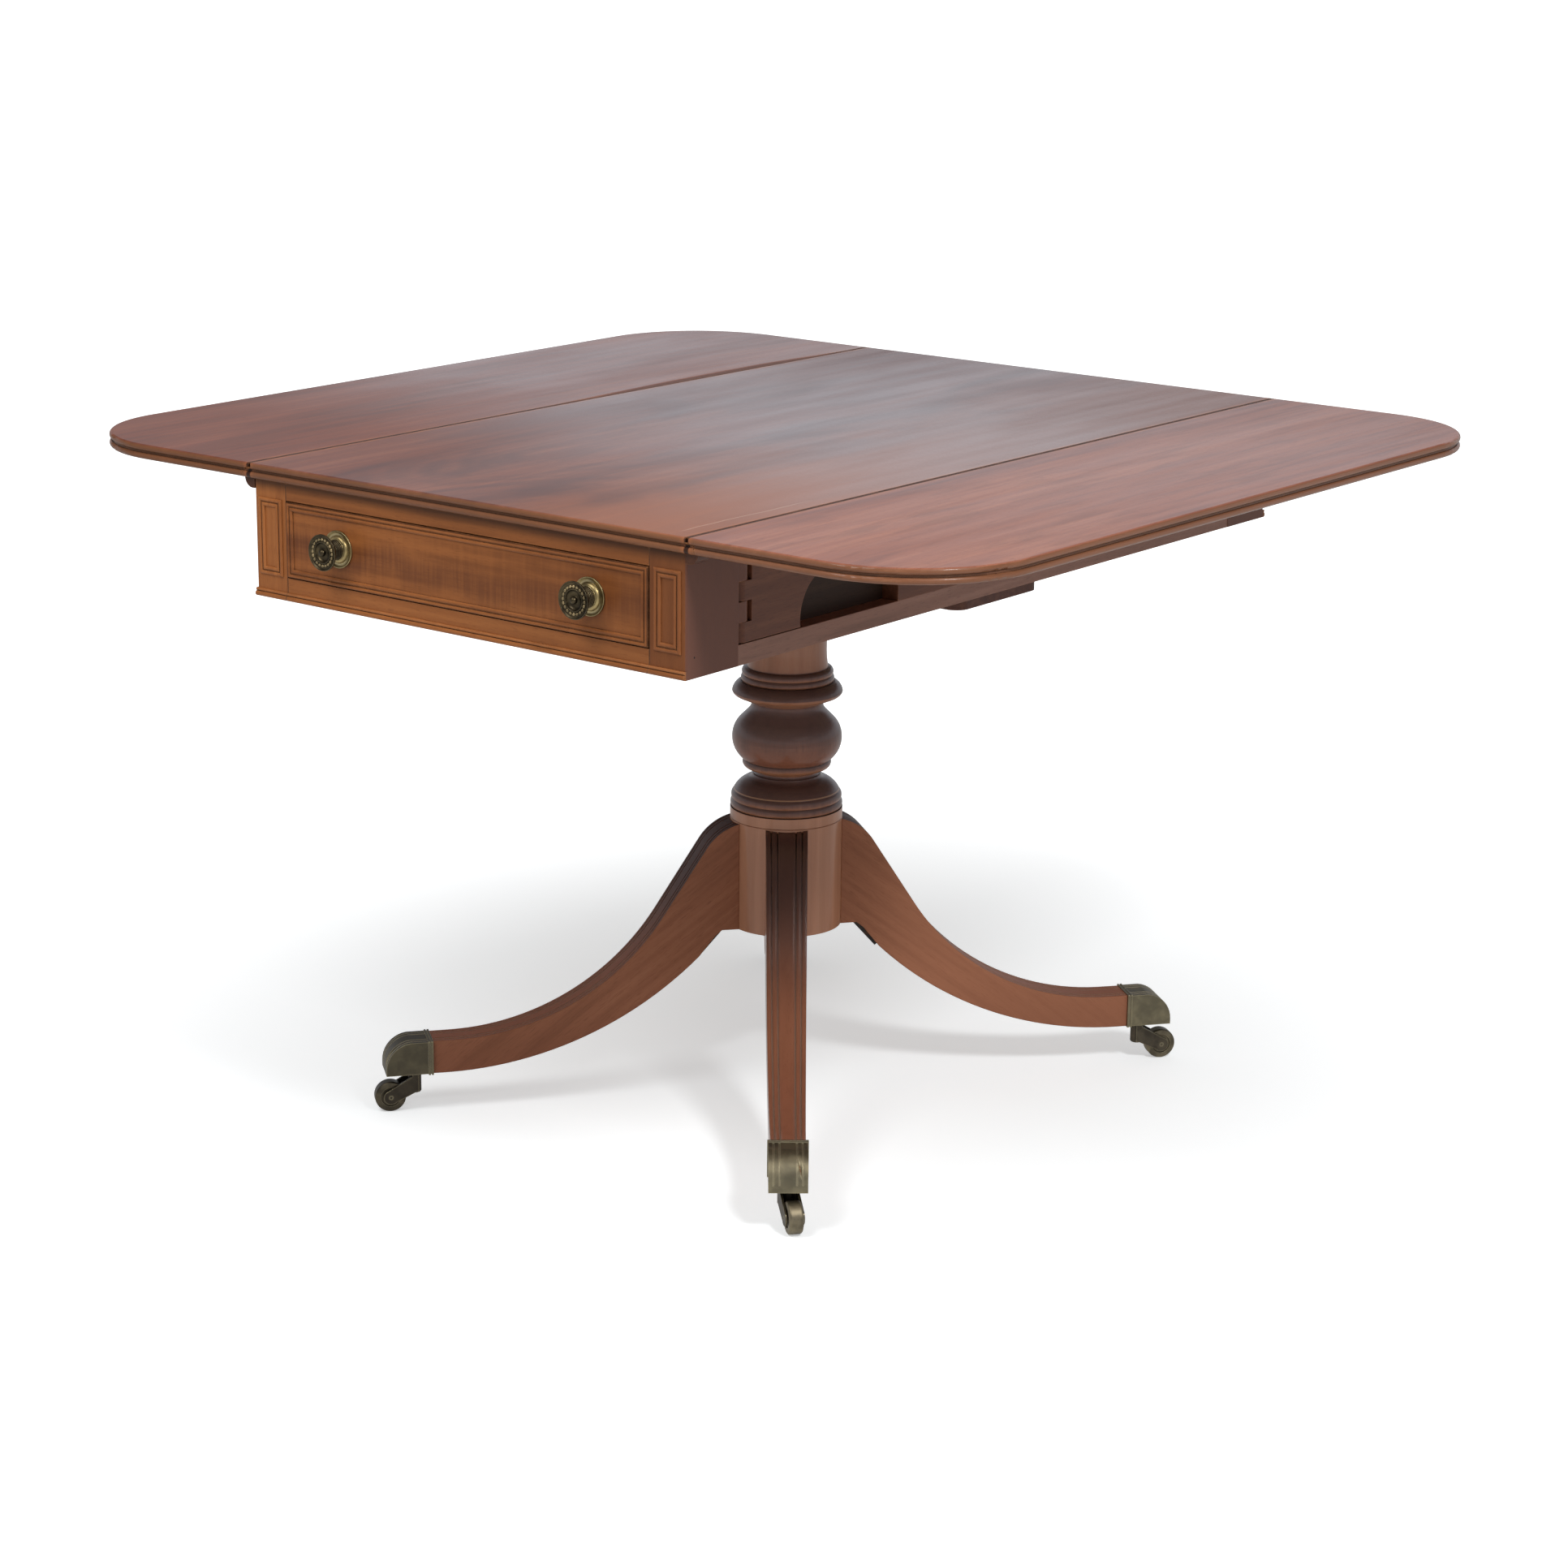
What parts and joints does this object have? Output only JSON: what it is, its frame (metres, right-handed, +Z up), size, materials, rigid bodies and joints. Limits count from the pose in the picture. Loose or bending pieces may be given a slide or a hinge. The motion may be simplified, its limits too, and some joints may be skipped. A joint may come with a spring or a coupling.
{
  "type": "pembroke table",
  "caption": "Pedestal pembroke table with drop leaves on rule joints, swinging fly brackets, an end drawer, a turned column and sabre legs on brass castors.",
  "frame": {"origin": "on the floor under the middle of the table", "axes": "+X across the leaves towards the right leaf, -Y towards the drawer end, +Z up"},
  "size_m": [1.12, 1.052, 0.72],
  "materials": {
    "top_mahogany": "polished red-brown mahogany",
    "end_mahogany": "polished golden-brown mahogany",
    "frame_mahogany": "dull brown mahogany",
    "pedestal_mahogany": "dark polished mahogany",
    "inside_wood": "unpolished inside wood",
    "old_brass": "aged dark brass",
    "dark_iron": "dark wrought iron"
  },
  "bodies": {
    "table": {"back_bottom_rail": "frame_mahogany", "back_left_leg": "pedestal_mahogany", "back_left_post": "frame_mahogany", "back_right_leg": "pedestal_mahogany", "back_right_post": "frame_mahogany", "back_top_rail": "frame_mahogany", "base_beads": "end_mahogany", "bracket_pins": "dark_iron", "centre_top": "top_mahogany", "column": "pedestal_mahogany", "drawer_kickers": "inside_wood", "dummy_front": "end_mahogany", "dummy_knob_plates": "old_brass", "dummy_knobs": "old_brass", "front_bottom_rail": "frame_mahogany", "front_left_leg": "pedestal_mahogany", "front_left_post": "frame_mahogany", "front_right_leg": "pedestal_mahogany", "front_right_post": "frame_mahogany", "front_top_rail": "frame_mahogany", "hinge_fixed_flaps": "dark_iron", "hinge_pins": "dark_iron", "joint_fillets": "frame_mahogany", "left_drawer_runner": "inside_wood", "left_inner_rail": "inside_wood", "left_lower_strip": "frame_mahogany", "left_side_filler": "frame_mahogany", "leg_spider": "dark_iron", "pillar_block": "frame_mahogany", "pillar_block_screws": "dark_iron", "post_panel_beads": "end_mahogany", "right_drawer_runner": "inside_wood", "right_inner_rail": "inside_wood", "right_lower_strip": "frame_mahogany", "right_side_filler": "frame_mahogany", "spider_screws": "dark_iron", "toe_caps": "old_brass"},
    "right_leaf_body": {"right_leaf": "top_mahogany", "right_leaf_hinges": "dark_iron"},
    "left_leaf_body": {"left_leaf": "top_mahogany", "left_leaf_hinges": "dark_iron"},
    "front_right_bracket_body": {"front_right_bracket": "frame_mahogany"},
    "front_left_bracket_body": {"front_left_bracket": "frame_mahogany"},
    "back_right_bracket_body": {"back_right_bracket": "frame_mahogany"},
    "back_left_bracket_body": {"back_left_bracket": "frame_mahogany"},
    "drawer": {"drawer_front": "end_mahogany", "drawer_left_side": "inside_wood", "drawer_right_side": "inside_wood", "drawer_back": "inside_wood", "drawer_bottom": "inside_wood", "drawer_knobs": "old_brass", "drawer_knob_plates": "old_brass"},
    "front_right_fork_body": {"front_right_castor_fork": "old_brass"},
    "front_right_wheel_body": {"front_right_castor_wheel": "old_brass"},
    "front_left_fork_body": {"front_left_castor_fork": "old_brass"},
    "front_left_wheel_body": {"front_left_castor_wheel": "old_brass"},
    "back_right_fork_body": {"back_right_castor_fork": "old_brass"},
    "back_right_wheel_body": {"back_right_castor_wheel": "old_brass"},
    "back_left_fork_body": {"back_left_castor_fork": "old_brass"},
    "back_left_wheel_body": {"back_left_castor_wheel": "old_brass"}
  },
  "joints": [
    {"name": "right_leaf_drop", "type": "hinge", "parent": "table", "child": "right_leaf_body", "pos_m": [0.2778, 0, 0.705], "axis": [0, -1, 0], "range_deg": [-90, 0]},
    {"name": "left_leaf_drop", "type": "hinge", "parent": "table", "child": "left_leaf_body", "pos_m": [-0.2778, 0, 0.705], "axis": [0, 1, 0], "range_deg": [-90, 0]},
    {"name": "front_right_bracket_swing", "type": "hinge", "parent": "table", "child": "front_right_bracket_body", "pos_m": [0.26525, -0.415, 0.65], "axis": [0, 0, -1], "range_deg": [0, 90]},
    {"name": "front_left_bracket_swing", "type": "hinge", "parent": "table", "child": "front_left_bracket_body", "pos_m": [-0.26525, -0.415, 0.65], "axis": [0, 0, 1], "range_deg": [0, 90]},
    {"name": "back_right_bracket_swing", "type": "hinge", "parent": "table", "child": "back_right_bracket_body", "pos_m": [0.26525, 0.415, 0.65], "axis": [0, 0, 1], "range_deg": [0, 90]},
    {"name": "back_left_bracket_swing", "type": "hinge", "parent": "table", "child": "back_left_bracket_body", "pos_m": [-0.26525, 0.415, 0.65], "axis": [0, 0, -1], "range_deg": [0, 90]},
    {"name": "drawer_slide", "type": "slide", "parent": "table", "child": "drawer", "axis": [0, -1, 0], "range_m": [0, 0.5]},
    {"name": "front_right_castor_swivel", "type": "hinge", "parent": "table", "child": "front_right_fork_body", "pos_m": [0.25252, -0.31407, 0.04], "axis": [0, 0, 1], "continuous": true},
    {"name": "front_right_wheel_roll", "type": "hinge", "parent": "front_right_fork_body", "child": "front_right_wheel_body", "pos_m": [0.27306, -0.33082, 0.0165], "axis": [0.632, 0.7749, 0], "continuous": true},
    {"name": "front_left_castor_swivel", "type": "hinge", "parent": "table", "child": "front_left_fork_body", "pos_m": [-0.25252, -0.31407, 0.04], "axis": [0, 0, 1], "continuous": true},
    {"name": "front_left_wheel_roll", "type": "hinge", "parent": "front_left_fork_body", "child": "front_left_wheel_body", "pos_m": [-0.26913, -0.33473, 0.0165], "axis": [0.7793, -0.6266, 0], "continuous": true},
    {"name": "back_right_castor_swivel", "type": "hinge", "parent": "table", "child": "back_right_fork_body", "pos_m": [0.25252, 0.31407, 0.04], "axis": [0, 0, 1], "continuous": true},
    {"name": "back_right_wheel_roll", "type": "hinge", "parent": "back_right_fork_body", "child": "back_right_wheel_body", "pos_m": [0.26913, 0.33473, 0.0165], "axis": [-0.7793, 0.6266, 0], "continuous": true},
    {"name": "back_left_castor_swivel", "type": "hinge", "parent": "table", "child": "back_left_fork_body", "pos_m": [-0.25252, 0.31407, 0.04], "axis": [0, 0, 1], "continuous": true},
    {"name": "back_left_wheel_roll", "type": "hinge", "parent": "back_left_fork_body", "child": "back_left_wheel_body", "pos_m": [-0.26913, 0.33473, 0.0165], "axis": [-0.7793, -0.6266, 0], "continuous": true}
  ]
}
